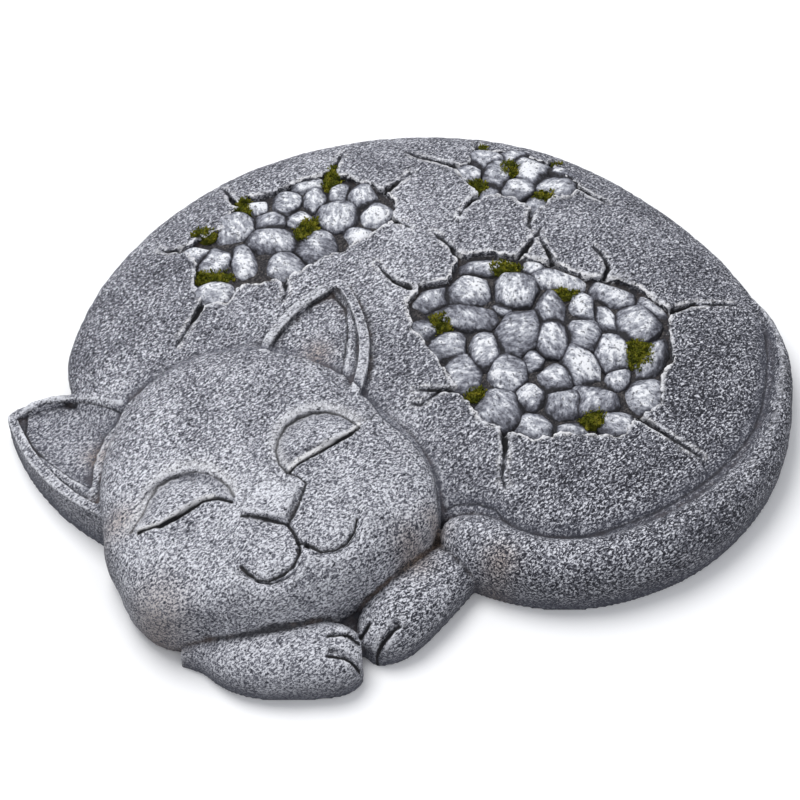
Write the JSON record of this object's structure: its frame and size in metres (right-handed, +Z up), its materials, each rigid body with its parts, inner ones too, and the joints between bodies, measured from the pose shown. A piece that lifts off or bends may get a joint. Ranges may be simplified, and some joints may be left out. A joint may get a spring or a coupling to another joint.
{
  "type": "garden stepping stone",
  "caption": "Flat-backed cast concrete stepping stone shaped as a sleeping cat curled up, with broken patches in its back that show a bed of pebbles.",
  "frame": {"origin": "middle of the underside: centre of the bounding box in plan, on the ground", "axes": "+X to the right of the picture, along the longest side; +Y away from the viewer; +Z up, out of the ground"},
  "size_m": [0.3946, 0.348, 0.0524],
  "materials": {
    "cast_concrete": "rough cast concrete, grey wash in the recesses and lighter on the ridges"
  },
  "bodies": {
    "root": {"cat_stepping_stone": "cast_concrete"}
  },
  "joints": []
}
